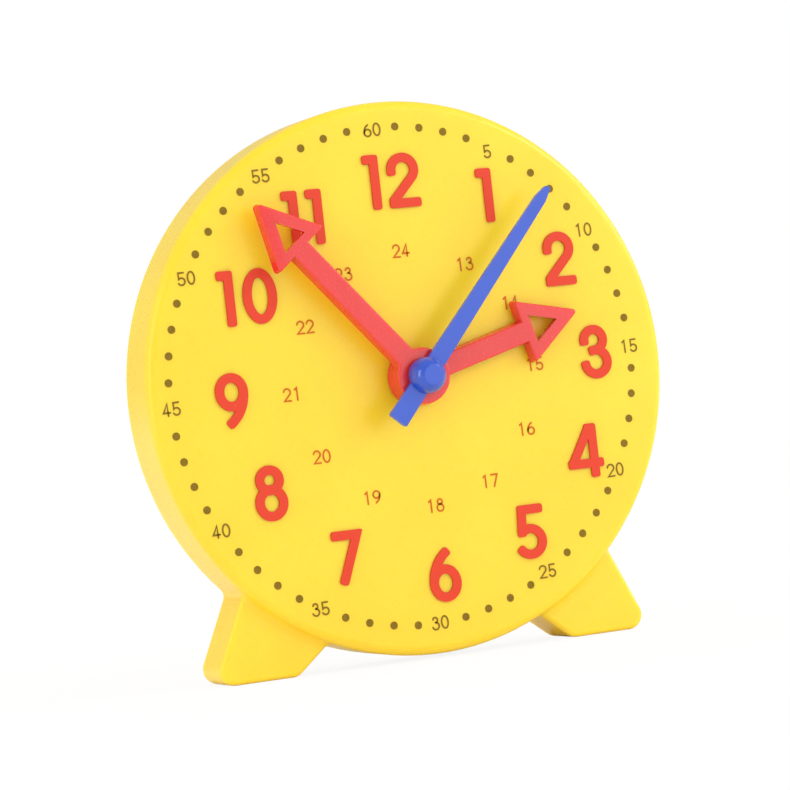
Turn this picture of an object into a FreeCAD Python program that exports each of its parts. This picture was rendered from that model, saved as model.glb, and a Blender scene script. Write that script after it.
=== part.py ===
import FreeCAD, Part
import math
import os
import Sketcher

# A geared teaching clock: a round moulded case on two feet, a dial with raised
# numerals, an hour hand and a minute hand joined by hidden 12:1 wheels, and a
# free second hand with a finger knob.
#
# Frame of every sub-part: millimetres, X to the right of the dial, Z up, Y from
# the dial towards the back. A sub-part is drawn about its own shaft, with y = 0
# on the front face of the dial, and its Placement puts it on the clock. The
# clock's origin is on the ground, below the middle of its width and depth.

SIZES = {
    # front case
    "case_diameter": 100.0,
    "case_depth": 12.5,
    "rim_rounding": 1.7,
    "dial_thickness": 2.0,
    "case_wall": 2.0,
    "centre_height": 50.7,
    # feet
    "foot_setback": 2.4,
    "foot_wall": 1.8,
    "foot_heel_offset": 27.0,
    "foot_heel_lean": 51.0,
    "foot_heel_rounding": 2.5,
    "foot_toe_offset": 43.0,
    "foot_toe_lean": 24.5,
    "foot_toe_rounding": 2.7,
    "foot_edge_rounding": 0.9,
    "foot_root_blend": 1.8,
    "foot_rib": 1.5,
    # raised numerals
    "numeral_circle": 35.65,
    "numeral_circle_turn": -1.5,
    "numeral_circle_x": 0.82,
    "numeral_circle_z": 0.14,
    "numeral_six_drop": 0.4,
    "numeral_seven_rise": 0.4,
    "numeral_eight_rise": 0.8,
    "numeral_ten_inset": 0.65,
    "numeral_eleven_drop": 0.3,
    "numeral_twelve_drop": 0.3,
    "numeral_height": 9.9,
    "numeral_width": 6.1,
    "numeral_zero_width": 6.4,
    "numeral_four_width": 7.1,
    "numeral_one_width": 3.0,
    "numeral_stroke": 1.68,
    "numeral_end_rounding": 0.5,
    "numeral_spacing": 1.6,
    "numeral_relief": 0.4,
    # hands
    "numeral_clearance": 0.25,
    "hand_gap": 0.3,
    "hand_thickness": 2.15,
    "hand_flare": 0.3,
    "hand_edge_rounding": 0.35,
    "hand_bar_width": 3.8,
    "hand_hub_diameter": 10.0,
    "hand_hub_blend": 0.9,
    "arrow_length": 10.9,
    "arrow_width": 11.8,
    "arrow_barb_rounding": 0.35,
    "arrow_tip_rounding": 0.5,
    "arrow_window_rim": 1.7,
    "arrow_window_side": 2.15,
    "arrow_window_flare": 0.15,
    "hour_hand_length": 33.4,
    "minute_hand_length": 42.85,
    "hour_rest_angle": 74.6,
    "minute_rest_angle": -40.2,
    # second hand
    "second_clearance": 0.55,
    "second_thickness": 0.9,
    "second_length": 42.0,
    "second_taper_length": 2.6,
    "second_tip_width": 1.0,
    "second_front_width": 2.15,
    "second_tail_length": 10.0,
    "second_tail_width": 3.75,
    "second_tail_rounding": 0.4,
    "second_boss_diameter": 3.4,
    "second_boss_gap": 0.3,
    "second_rest_angle": 41.15,
    "knob_diameter": 6.6,
    "knob_height": 2.75,
    "knob_crown_rounding": 0.4,
    # shafts and their fits
    "running_gap": 0.08,
    "press_gap": 0.02,
    "axial_play": 0.1,
    "arbor_diameter": 1.6,
    "arbor_tail": 1.1,
    "arbor_chamfer": 0.2,
    "arbor_grip": 2.6,
    "minute_tube_diameter": 4.0,
    "hour_pipe_diameter": 6.0,
    "stud_diameter": 2.0,
    "stud_socket_depth": 1.1,
    # wheels
    "gear_module": 0.8,
    "gear_pressure_angle": 25.0,
    "gear_addendum": 0.95,
    "gear_dedendum": 1.2,
    "gear_backlash": 0.12,
    "minute_pinion_teeth": 15,
    "motion_wheel_teeth": 45,
    "motion_pinion_teeth": 12,
    "hour_wheel_teeth": 48,
    "hour_wheel_thickness": 1.8,
    "motion_wheel_thickness": 1.6,
    "wheel_layer_gap": 0.4,
    "wheel_window_diameter": 6.0,
    "wheel_window_circle": 11.5,
    "wheel_window_count": 5,
    # washers
    "hour_washer_diameter": 10.0,
    "hour_washer_thickness": 0.3,
    "motion_washer_diameter": 5.0,
    "second_washer_diameter": 3.6,
    "second_washer_thickness": 0.2,
    "minute_spring_diameter": 7.5,
    "minute_spring_thickness": 0.25,
    "minute_spring_rise": 0.35,
    "second_spring_diameter": 4.6,
    "second_spring_thickness": 0.2,
    "second_spring_rise": 0.2,
    "retainer_diameter": 4.8,
    "retainer_thickness": 0.4,
    "retainer_slot_width": 0.5,
    "retainer_slot_length": 0.8,
    "retainer_slot_count": 4,
    # gear bridge and its screws
    "bridge_thickness": 1.6,
    "bridge_corner_diameter": 8.0,
    "bridge_side_offset": 27.0,
    "bridge_side_height": 3.0,
    "bridge_top_height": 24.0,
    "bridge_boss_diameter": 6.0,
    "bridge_screw_length": 6.0,
    "bridge_screw_head_diameter": 4.0,
    "bridge_screw_head_height": 1.1,
    # back cover and its screws
    "cover_thickness": 1.6,
    "cover_recess": 0.4,
    "cover_edge_gap": 0.15,
    "cover_boss_diameter": 7.0,
    "cover_screw_circle": 41.0,
    "cover_screw_count": 4,
    "cover_screw_length": 8.0,
    "cover_screw_head_diameter": 4.6,
    # common to all self-tapping screws
    "screw_diameter": 2.2,
    "screw_hole_gap": 0.15,
    "screw_pilot_gap": 0.03,
    "screw_pilot_run": 0.5,
    "screw_recess_length": 2.2,
    "screw_recess_width": 0.55,
    "screw_recess_depth": 0.6,
}


class Size:
    """A length or count of the sheet, or one worked out from it: its text for bindings, its value now."""

    def __init__(self, text, value):
        self.text = text
        self.value = value

    def join(self, sign, other, value):
        other_text = other.text if isinstance(other, Size) else repr(other)
        return Size("(%s %s %s)" % (self.text, sign, other_text), value)

    def __add__(self, other):
        return self.join("+", other, self.value + float(other))

    def __sub__(self, other):
        return self.join("-", other, self.value - float(other))

    def __mul__(self, other):
        return self.join("*", other, self.value * float(other))

    def __truediv__(self, other):
        return self.join("/", other, self.value / float(other))

    def __neg__(self):
        return Size("(-%s)" % self.text, -self.value)

    def __float__(self):
        return float(self.value)


class Sizes:
    """The driving dimensions, one attribute for each alias of the sheet."""

    def __init__(self, sheet):
        for row, (alias, number) in enumerate(SIZES.items(), start=1):
            sheet.set("A%d" % row, alias)
            sheet.set("B%d" % row, str(number))
            sheet.setAlias("B%d" % row, alias)
            setattr(self, alias, Size("%s.%s" % (sheet.Name, alias), float(number)))


DOC = FreeCAD.newDocument("teaching_clock")
S = Sizes(DOC.addObject("Spreadsheet::Sheet", "Sizes"))
DOC.recompute()
ZERO = Size("0", 0.0)

# ---------------------------------------------------------------- worked-out sizes

CASE_RADIUS = S.case_diameter / 2
CASE_BORE_RADIUS = CASE_RADIUS - S.case_wall
COVER_BACK = S.case_depth - S.cover_recess
COVER_FRONT = COVER_BACK - S.cover_thickness

# Heights of the hands, as y of the clock: the front is negative.
HOUR_HAND_BACK = -S.numeral_relief - S.numeral_clearance
HOUR_HAND_FRONT = HOUR_HAND_BACK - S.hand_thickness
MINUTE_HAND_BACK = HOUR_HAND_FRONT - S.hand_gap
MINUTE_HAND_FRONT = MINUTE_HAND_BACK - S.hand_thickness
SECOND_HAND_BACK = MINUTE_HAND_FRONT - S.second_clearance
SECOND_HAND_FRONT = SECOND_HAND_BACK - S.second_thickness
KNOB_FRONT = SECOND_HAND_FRONT - S.knob_height

# Layers of the wheels behind the dial.
HOUR_WHEEL_FRONT = S.dial_thickness + S.hour_washer_thickness + S.axial_play
HOUR_WHEEL_BACK = HOUR_WHEEL_FRONT + S.hour_wheel_thickness
MOTION_WHEEL_FRONT = HOUR_WHEEL_BACK + S.wheel_layer_gap
MOTION_WHEEL_BACK = MOTION_WHEEL_FRONT + S.motion_wheel_thickness
BRIDGE_FRONT = MOTION_WHEEL_BACK + S.minute_spring_thickness + S.minute_spring_rise + S.axial_play * 2
BRIDGE_BACK = BRIDGE_FRONT + S.bridge_thickness
MINUTE_TUBE_BACK = BRIDGE_BACK + S.axial_play
SECOND_SPRING_BACK = MINUTE_TUBE_BACK + S.second_spring_thickness + S.second_spring_rise
ARBOR_BACK = MINUTE_TUBE_BACK + S.arbor_tail

# Radii of the shafts and of the holes they turn in.
ARBOR_RADIUS = S.arbor_diameter / 2
TUBE_RADIUS = S.minute_tube_diameter / 2
PIPE_RADIUS = S.hour_pipe_diameter / 2
STUD_RADIUS = S.stud_diameter / 2
SCREW_RADIUS = S.screw_diameter / 2
TUBE_BORE_RADIUS = ARBOR_RADIUS + S.running_gap
PIPE_BORE_RADIUS = TUBE_RADIUS + S.running_gap
DIAL_BORE_RADIUS = PIPE_RADIUS + S.running_gap
BRIDGE_BORE_RADIUS = TUBE_RADIUS + S.running_gap
SCREW_HOLE_RADIUS = SCREW_RADIUS + S.screw_hole_gap
PILOT_RADIUS = SCREW_RADIUS + S.screw_pilot_gap

# The two wheel pairs share one centre distance, so the second pair's module follows.
CENTRE_DISTANCE = S.gear_module * (S.minute_pinion_teeth + S.motion_wheel_teeth) / 2
HOUR_MODULE = CENTRE_DISTANCE * 2 / (S.motion_pinion_teeth + S.hour_wheel_teeth)

# The clock's origin lies halfway between the knob's face and the back of the case.
DIAL_Y = -(S.case_depth + KNOB_FRONT) / 2

# Where the self-tapping screws stand, as (x, z) about the middle of the dial.
BRIDGE_SCREWS = [
    (-S.bridge_side_offset, S.bridge_side_height),
    (S.bridge_side_offset, S.bridge_side_height),
    (ZERO, S.bridge_top_height),
]
COVER_SCREW_PITCH = 360.0 / int(float(S.cover_screw_count))
COVER_SCREWS = [
    (
        S.cover_screw_circle * math.sin(math.radians((place + 0.5) * COVER_SCREW_PITCH)),
        S.cover_screw_circle * math.cos(math.radians((place + 0.5) * COVER_SCREW_PITCH)),
    )
    for place in range(int(float(S.cover_screw_count)))
]


# ---------------------------------------------------------------- drawing helpers


def bind(thing, property_name, size):
    """Give a property its size, and keep it bound to the sheet."""
    thing.setExpression(property_name, size.text)


def new_body(label, x=None, z=None, turn=None):
    """A body at the dial's middle, moved by x and z and turned clockwise about its shaft."""
    body = DOC.addObject("PartDesign::Body", label)
    body.Label = label
    body.AllowCompound = True
    if turn is not None:
        body.Placement = FreeCAD.Placement(
            FreeCAD.Vector(), FreeCAD.Rotation(FreeCAD.Vector(0, 1, 0), float(turn))
        )
        bind(body, "Placement.Rotation.Angle", turn)
    if x is not None:
        bind(body, "Placement.Base.x", x)
    bind(body, "Placement.Base.y", DIAL_Y)
    bind(body, "Placement.Base.z", S.centre_height if z is None else S.centre_height + z)
    return body


def origin_plane(body, role):
    return [feature for feature in body.Origin.OriginFeatures if feature.Role == role][0]


def dial_sketch(body, name, depth):
    """A sketch parallel to the dial, its x and y along X and Z, at the given y of the clock."""
    sketch = body.newObject("Sketcher::SketchObject", name)
    sketch.AttachmentSupport = [(origin_plane(body, "XZ_Plane"), "")]
    sketch.MapMode = "FlatFace"
    bind(sketch, "AttachmentOffset.Base.z", -depth)
    return sketch


def section_sketch(body, name):
    """A sketch in the plane of X and Y, for shapes turned about the shaft."""
    sketch = body.newObject("Sketcher::SketchObject", name)
    sketch.AttachmentSupport = [(origin_plane(body, "XY_Plane"), "")]
    sketch.MapMode = "FlatFace"
    return sketch


def add_circle(sketch, radius, x=None, z=None):
    """A circle with its radius, and its centre where it has one, bound to the sheet."""
    centre = FreeCAD.Vector(float(x) if x else 0, float(z) if z else 0, 0)
    index = sketch.addGeometry(Part.Circle(centre, FreeCAD.Vector(0, 0, 1), float(radius)), False)
    constraint = sketch.addConstraint(Sketcher.Constraint("Radius", index, float(radius)))
    bind(sketch, "Constraints[%d]" % constraint, radius)
    if x is None:
        sketch.addConstraint(Sketcher.Constraint("Coincident", index, 3, -1, 1))
        return
    for kind, place in (("DistanceX", x), ("DistanceY", z)):
        constraint = sketch.addConstraint(Sketcher.Constraint(kind, -1, 1, index, 3, float(place)))
        bind(sketch, "Constraints[%d]" % constraint, place)


def rounded_outline(corners):
    """The lines and tangent arcs of a closed outline through corners (x, y, rounding)."""
    entries, exits, middles = [], [], []
    count = len(corners)
    for index, (x, y, rounding) in enumerate(corners):
        corner = FreeCAD.Vector(x, y, 0)
        before = FreeCAD.Vector(*corners[index - 1][:2], 0)
        after = FreeCAD.Vector(*corners[(index + 1) % count][:2], 0)
        to_before = (before - corner).normalize()
        to_after = (after - corner).normalize()
        half = to_before.getAngle(to_after) / 2
        run = rounding / math.tan(half)
        entries.append(corner + to_before * run)
        exits.append(corner + to_after * run)
        bisector = (to_before + to_after).normalize()
        middles.append(corner + bisector * (rounding / math.sin(half) - rounding))
    curves = []
    for index in range(count):
        if corners[index][2] > 0:
            curves.append(Part.Arc(entries[index], middles[index], exits[index]))
        curves.append(Part.LineSegment(exits[index], entries[(index + 1) % count]))
    return curves


def add_outline(sketch, corners):
    """Draw a closed outline through corners (x, y, rounding)."""
    for curve in rounded_outline(corners):
        sketch.addGeometry(curve, False)


def add_arc_and_lines(sketch, arc_points, line_points):
    """A closed outline: an arc through three points, then straight lines back to its start."""
    start, middle, end = [FreeCAD.Vector(x, y, 0) for x, y in arc_points]
    sketch.addGeometry(Part.Arc(start, middle, end), False)
    chain = [end] + [FreeCAD.Vector(x, y, 0) for x, y in line_points] + [start]
    for first, second in zip(chain, chain[1:]):
        sketch.addGeometry(Part.LineSegment(first, second), False)


def pad(body, sketch, name, length, backward=True, taper=None):
    """Grow a dial sketch by length, to the back of the clock or to its front."""
    feature = body.newObject("PartDesign::Pad", name)
    feature.Profile = sketch
    bind(feature, "Length", length)
    feature.Reversed = backward
    if taper is not None:
        feature.TaperAngle = taper
    body.Tip = feature
    return feature


def pocket(body, sketch, name, length, taper=None):
    """Cut a dial sketch into the body, towards the back of the clock."""
    feature = body.newObject("PartDesign::Pocket", name)
    feature.Profile = sketch
    bind(feature, "Length", length)
    if taper is not None:
        feature.TaperAngle = taper
    body.Tip = feature
    return feature


def turned(body, sketch, name):
    """Turn a section sketch about the shaft."""
    feature = body.newObject("PartDesign::Revolution", name)
    feature.Profile = sketch
    feature.ReferenceAxis = (sketch, ["V_Axis"])
    feature.Angle = 360
    body.Tip = feature
    return feature


def polar_pattern(body, feature, sketch, name, count):
    """Repeat a feature round the shaft."""
    pattern = body.newObject("PartDesign::PolarPattern", name)
    pattern.Originals = [feature]
    pattern.Axis = (sketch, ["N_Axis"])
    pattern.Angle = 360
    bind(pattern, "Occurrences", count)
    body.Tip = pattern
    return pattern


def round_edges(body, name, radius, chosen):
    """Fillet the edges of the body's last feature that the test chooses."""
    DOC.recompute()
    base = body.Tip
    names = [
        "Edge%d" % number
        for number, edge in enumerate(base.Shape.Edges, start=1)
        if chosen(edge)
    ]
    if not names:
        raise ValueError("%s finds no edge" % name)
    feature = body.newObject("PartDesign::Fillet", name)
    feature.Base = (base, names)
    bind(feature, "Radius", radius)
    body.Tip = feature
    return feature


def lies_at_depth(edge, depth):
    """Whether all of an edge lies in the plane y = depth of its own body."""
    box = edge.BoundBox
    return abs(box.YMin - float(depth)) < 1e-4 and abs(box.YMax - float(depth)) < 1e-4


# ---------------------------------------------------------------- case


def foot_corners(side, inset):
    """The foot's outline on one side (+1 right, -1 left): hidden top, toe and heel, drawn in by inset."""
    ground = -float(S.centre_height) + inset
    toe_slope = math.tan(math.radians(float(S.foot_toe_lean)))
    heel_slope = math.tan(math.radians(float(S.foot_heel_lean)))
    toe_x = float(S.foot_toe_offset) - inset * math.hypot(1, toe_slope) - inset * toe_slope
    heel_x = float(S.foot_heel_offset) + inset * math.hypot(1, heel_slope) - inset * heel_slope
    hidden_z = -float(CASE_BORE_RADIUS) * math.cos(math.radians(45))
    toe_top_x = toe_x - (hidden_z - ground) * toe_slope
    heel_top_x = min(heel_x - (hidden_z - ground) * heel_slope, toe_top_x - 1)
    toe_rounding = max(float(S.foot_toe_rounding) - inset, 0.3)
    heel_rounding = max(float(S.foot_heel_rounding) - inset, 0.3)
    corners = [
        (side * heel_top_x, hidden_z, 0),
        (side * toe_top_x, hidden_z, 0),
        (side * toe_x, ground, toe_rounding),
        (side * heel_x, ground, heel_rounding),
    ]
    return corners


def make_front_case():
    """The moulded shell: dial, rim, two ribbed feet, and the bosses that carry the works and the cover."""
    body = new_body("front_case")
    disc = dial_sketch(body, "case_disc_outline", ZERO)
    add_circle(disc, CASE_RADIUS)
    pad(body, disc, "case_disc", S.case_depth)

    feet = dial_sketch(body, "feet_outline", S.foot_setback)
    for side in (-1, 1):
        add_outline(feet, foot_corners(side, 0.0))
    pad(body, feet, "feet", S.case_depth - S.foot_setback)
    round_edges(body, "rim_front_rounding", S.rim_rounding, lambda edge: lies_at_depth(edge, 0))
    round_edges(
        body,
        "feet_front_rounding",
        S.foot_edge_rounding,
        lambda edge: lies_at_depth(edge, S.foot_setback) and edge.BoundBox.ZMin < -float(CASE_RADIUS) * 0.7
        and not is_on_case_wall(edge),
    )
    round_edges(body, "foot_root_blend", root_blend(), is_foot_root)

    works = dial_sketch(body, "works_space_outline", S.dial_thickness)
    add_circle(works, CASE_BORE_RADIUS)
    pocket(body, works, "works_space", S.case_depth)

    hollows = dial_sketch(body, "foot_hollow_outline", S.foot_setback + S.foot_wall)
    for side in (-1, 1):
        add_outline(hollows, foot_corners(side, float(S.foot_wall)))
    pocket(body, hollows, "foot_hollows", S.case_depth)

    rim = dial_sketch(body, "rim_outline", S.dial_thickness)
    add_circle(rim, CASE_RADIUS)
    add_circle(rim, CASE_BORE_RADIUS)
    pad(body, rim, "rim", S.case_depth - S.dial_thickness)

    add_foot_ribs(body)
    add_bosses(body, "bridge_boss", BRIDGE_SCREWS, S.bridge_boss_diameter / 2, BRIDGE_FRONT,
               BRIDGE_BACK - S.bridge_screw_length)
    add_bosses(body, "cover_boss", COVER_SCREWS, S.cover_boss_diameter / 2, COVER_FRONT,
               COVER_BACK - S.cover_screw_length)

    bore = dial_sketch(body, "pipe_hole_outline", ZERO)
    add_circle(bore, DIAL_BORE_RADIUS)
    pocket(body, bore, "pipe_hole", S.dial_thickness)

    socket = dial_sketch(body, "stud_socket_outline", S.dial_thickness - S.stud_socket_depth)
    add_circle(socket, STUD_RADIUS + S.press_gap, ZERO, -CENTRE_DISTANCE)
    pocket(body, socket, "stud_socket", S.stud_socket_depth)
    return body


def root_blend():
    """The blend between foot and case, held to half the straight run of the foot's inner side."""
    lean = math.radians(float(S.foot_heel_lean))
    heel_x, ground = float(S.foot_heel_offset), -float(S.centre_height)
    along = heel_x * math.sin(lean) - ground * math.cos(lean)
    across = heel_x * math.cos(lean) + ground * math.sin(lean)
    side = along - math.sqrt(float(CASE_RADIUS) ** 2 - across ** 2)
    rounded = float(S.foot_heel_rounding) / math.tan(math.pi / 4 + lean / 2)
    room = (side - rounded) / 2
    return Size("min(%s; %r)" % (S.foot_root_blend.text, room), min(float(S.foot_root_blend), room))


def is_foot_root(edge):
    """Whether an edge is the inner corner between a foot and the round case."""
    return is_on_case_wall(edge) and edge.BoundBox.YLength > 1 and (
        abs(edge.BoundBox.Center.x) < float(S.foot_heel_offset))


def is_on_case_wall(edge):
    """Whether an edge lies on the round outside of the case."""
    middle = edge.valueAt((edge.FirstParameter + edge.LastParameter) / 2)
    return abs(math.hypot(middle.x, middle.z) - float(CASE_RADIUS)) < 1e-3


def add_foot_ribs(body):
    """One upright rib in each foot's hollow, from the rim to the sole."""
    ribs = dial_sketch(body, "foot_rib_outline", S.foot_setback + S.foot_wall / 2)
    middle = (float(S.foot_toe_offset) + float(S.foot_heel_offset)) / 2
    half = float(S.foot_rib) / 2
    wall_middle = float(CASE_RADIUS) - float(S.case_wall) / 2
    top = -math.sqrt(wall_middle ** 2 - middle ** 2)
    bottom = -float(S.centre_height) + float(S.foot_wall) / 2
    for side in (-1, 1):
        add_outline(ribs, [
            (side * middle - half, top, 0),
            (side * middle + half, top, 0),
            (side * middle + half, bottom, 0),
            (side * middle - half, bottom, 0),
        ])
    pad(body, ribs, "foot_ribs", S.case_depth - S.foot_setback - S.foot_wall / 2 - S.cover_recess)


def add_bosses(body, name, places, radius, top, pilot_front):
    """Screw bosses from inside the dial to the plane y = top, with pilot holes from y = pilot_front."""
    bosses = dial_sketch(body, name + "_outline", S.dial_thickness / 2)
    for x, z in places:
        add_circle(bosses, radius, x, z)
    pad(body, bosses, name + "es", top - S.dial_thickness / 2)
    pilots = dial_sketch(body, name + "_pilot_outline", pilot_front - S.screw_pilot_run)
    for x, z in places:
        add_circle(pilots, PILOT_RADIUS, x, z)
    pocket(body, pilots, name + "_pilots", top - pilot_front + S.screw_pilot_run)


def make_back_cover():
    """The round plate that closes the case, with countersunk holes over the bosses."""
    body = new_body("back_cover")
    plate = dial_sketch(body, "cover_outline", COVER_FRONT)
    add_circle(plate, CASE_BORE_RADIUS - S.cover_edge_gap)
    pad(body, plate, "cover_plate", S.cover_thickness)
    holes = dial_sketch(body, "cover_hole_outline", COVER_FRONT)
    for x, z in COVER_SCREWS:
        add_circle(holes, SCREW_HOLE_RADIUS, x, z)
    pocket(body, holes, "cover_holes", S.cover_thickness)
    head_depth = S.cover_screw_head_diameter / 2 - SCREW_RADIUS
    sinks = dial_sketch(body, "cover_sink_outline", COVER_BACK - head_depth)
    for x, z in COVER_SCREWS:
        add_circle(sinks, SCREW_HOLE_RADIUS, x, z)
    pocket(body, sinks, "cover_sinks", head_depth, taper=45)
    return body


# ---------------------------------------------------------------- raised numerals

# A digit is drawn about its own middle. Its strokes run along centre lines, which reach
# `across` to either side and `up` above and below.


def stroke_along(edges):
    """A flat stroke with round ends and corners along an open chain of edges."""
    return Part.Wire(edges).makeOffset2D(float(S.numeral_stroke) / 2, 0, True).Faces[0]


def blunt(x, z, heading=0.0):
    """A square of the stroke's width with softened corners, which squares off a stroke at x, z."""
    half = float(S.numeral_stroke) / 2
    soft = float(S.numeral_end_rounding)
    corners = [(-half, -half, soft), (half, -half, soft), (half, half, soft), (-half, half, soft)]
    face = Part.Face(Part.Wire([curve.toShape() for curve in rounded_outline(corners)]))
    face.rotate(FreeCAD.Vector(), FreeCAD.Vector(0, 0, 1), -heading)
    face.translate(FreeCAD.Vector(x, z, 0))
    return face


def oval(centre, width, height):
    """A closed outline: a circle, or an oval that is taller than wide."""
    middle = FreeCAD.Vector(*centre, 0)
    if height - width < 1e-6:
        return Part.Wire(Part.makeCircle(width / 2, middle))
    top, side = middle + FreeCAD.Vector(0, height / 2, 0), middle + FreeCAD.Vector(width / 2, 0, 0)
    return Part.Wire(Part.Ellipse(top, side, middle).toShape())


def ring(centre, across, up):
    """A flat closed stroke whose centre line is an oval."""
    stroke = float(S.numeral_stroke)
    outer = Part.Face(oval(centre, 2 * across + stroke, 2 * up + stroke))
    inner = Part.Face(oval(centre, 2 * across - stroke, 2 * up - stroke))
    return outer.cut(inner).Faces[0]


def line(*points):
    """Straight edges through points (x, z)."""
    spots = [FreeCAD.Vector(x, z, 0) for x, z in points]
    return [Part.makeLine(first, second) for first, second in zip(spots, spots[1:])]


def on_circle(centre, radius, angle):
    """The point of a circle at an angle in degrees, clockwise from the top."""
    turn = math.radians(angle)
    return centre[0] + radius * math.sin(turn), centre[1] + radius * math.cos(turn)


def arc(centre, radius, start, end):
    """An arc from start to end, in degrees clockwise from the top."""
    spots = [
        FreeCAD.Vector(*on_circle(centre, radius, angle), 0) for angle in (start, (start + end) / 2, end)
    ]
    return [Part.Arc(*spots).toShape()]


def tangent_angle(centre, radius, point):
    """Where a line from point touches a circle on its right, in degrees clockwise from the top."""
    aside, down = point[0] - centre[0], centre[1] - point[1]
    towards = math.degrees(math.atan2(aside, -down))
    return (towards - math.degrees(math.acos(radius / math.hypot(aside, down)))) % 360


def draw_zero(across, up):
    return [ring((0, 0), across, up)]


def draw_one(across, up):
    corners = [(-across, up), (across, up), (across, -up)]
    return [stroke_along(line(*corners))] + [blunt(*corner) for corner in corners]


def draw_two(across, up):
    """A round head, a straight slope that leaves it tangentially, and a flat foot."""
    crown, head_start = (0, up - across), -94.0
    knee = (-across, float(S.numeral_end_rounding) - up)
    lean = tangent_angle(crown, across, knee)
    slope = line(on_circle(crown, across, lean), knee, (-across, -up), (across, -up))
    return [
        stroke_along(arc(crown, across, head_start, lean) + slope),
        blunt(*on_circle(crown, across, head_start)),
        blunt(-across, -up),
        blunt(across, -up),
    ]


def draw_three(across, up):
    """A smaller bow above a larger one, whose upper end is the bar between them."""
    small = up - across
    upper, lower = ((across - small) * -0.5, up - small), (0, across - up)
    upper_start, bar_end, lower_end = -92.0, -12.0, 258.0
    return [
        stroke_along(arc(upper, small, upper_start, 183)),
        stroke_along(arc(lower, across, bar_end, lower_end)),
        blunt(*on_circle(upper, small, upper_start)),
        blunt(*on_circle(lower, across, bar_end), bar_end),
        blunt(*on_circle(lower, across, lower_end), lower_end),
    ]


def draw_four(across, up):
    """An upright, and a slope from beside its top that turns into the crossbar."""
    stem, bar = across * 0.63, up * -0.56
    apex = stem - float(S.numeral_stroke) * 0.4
    return [
        stroke_along(line((stem, -up), (stem, up), (apex, up))),
        stroke_along(line((apex, up), (-across, bar), (across, bar))),
        blunt(stem, -up),
        blunt(stem, up),
        blunt(apex, up),
        blunt(-across, bar),
        blunt(across, bar),
    ]


def draw_five(across, up):
    """A flag and a leaning stem, which meets a bow a little larger than the other digits'."""
    radius = across * 1.06
    bow, bow_start, bow_end = (across - radius, radius - up), -40.0, 229.0
    joint = on_circle(bow, radius, bow_start)
    return [
        stroke_along(line((across * 0.87, up), (across * -0.62, up), joint)),
        stroke_along(arc(bow, radius, bow_start, bow_end)),
        blunt(across * 0.87, up),
        blunt(across * -0.62, up),
        blunt(*joint),
        blunt(*on_circle(bow, radius, bow_end), bow_end),
    ]


def draw_six(across, up):
    """An oval bowl, and a curved tail that leaves its left side for the top."""
    half_bowl = across * 1.15
    low = half_bowl - up
    rise, run = up - low, across * 1.35
    reach = (rise ** 2 + run ** 2) / (2 * run)
    tail_end = -90 + math.degrees(math.asin((rise - float(S.numeral_end_rounding) / 2) / reach))
    tail = ((reach - across, low), reach)
    return [
        ring((0, low), across, half_bowl),
        stroke_along(arc(*tail, -90, tail_end)),
        blunt(*on_circle(*tail, tail_end), tail_end),
    ]


def draw_seven(across, up):
    """A flag and a slanting stem, which meet in a sharp corner."""
    half, soft = float(S.numeral_stroke) / 2, float(S.numeral_end_rounding)
    right, top = across + half, up + half
    foot = (across * -0.35, -top)
    slant = math.atan2(right - foot[0], 2 * top)
    heel = (foot[0] - 2 * half * math.cos(slant), foot[1] + 2 * half * math.sin(slant))
    armpit = top - 2 * half
    corners = [
        (-right, top, soft),
        (right, top, soft / 2),
        (*foot, soft),
        (*heel, soft),
        (heel[0] + (armpit - heel[1]) * math.tan(slant), armpit, 0),
        (-right, armpit, soft),
    ]
    return [Part.Face(Part.Wire([curve.toShape() for curve in rounded_outline(corners)]))]


def draw_eight(across, up):
    """A smaller ring above a larger oval, which share the middle of the digit."""
    small, half_bowl = across * 0.82, across * 1.08
    return [ring((0, up - small), small, small), ring((0, half_bowl - up), across, half_bowl)]


def draw_nine(across, up):
    """A six turned upside down."""
    faces = draw_six(across, up)
    for face in faces:
        face.rotate(FreeCAD.Vector(), FreeCAD.Vector(0, 0, 1), 180)
    return faces


DIGITS = {
    "0": draw_zero,
    "1": draw_one,
    "2": draw_two,
    "3": draw_three,
    "4": draw_four,
    "5": draw_five,
    "6": draw_six,
    "7": draw_seven,
    "8": draw_eight,
    "9": draw_nine,
}


def digit_width(digit):
    """The full width of a digit."""
    special = {"0": S.numeral_zero_width, "1": S.numeral_one_width, "4": S.numeral_four_width}
    return float(special.get(digit, S.numeral_width))


def digit_solid(digit, x, z):
    """One raised digit, standing on the dial with its middle at x, z."""
    stroke = float(S.numeral_stroke)
    across, up = (digit_width(digit) - stroke) / 2, (float(S.numeral_height) - stroke) / 2
    relief = FreeCAD.Vector(0, 0, float(S.numeral_relief))
    solids = [face.extrude(relief) for face in DIGITS[digit](across, up)]
    whole = solids[0].multiFuse(solids[1:]).removeSplitter() if len(solids) > 1 else solids[0]
    upright = FreeCAD.Rotation(FreeCAD.Vector(1, 0, 0), 90)
    whole.Placement = FreeCAD.Placement(FreeCAD.Vector(x, 0, z), upright)
    return whole.Solids[0]


def numeral_middle(hour):
    """Where the middle of an hour's numeral stands: on the circle, but for those that are moved."""
    centre = (float(S.numeral_circle_x), float(S.numeral_circle_z))
    x, z = on_circle(centre, float(S.numeral_circle), hour * 30 + float(S.numeral_circle_turn))
    rises = {
        6: -S.numeral_six_drop,
        7: S.numeral_seven_rise,
        8: S.numeral_eight_rise,
        11: -S.numeral_eleven_drop,
        12: -S.numeral_twelve_drop,
    }
    inset = float(S.numeral_ten_inset) if hour == 10 else 0
    return x + inset, z + float(rises.get(hour, 0))


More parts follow.
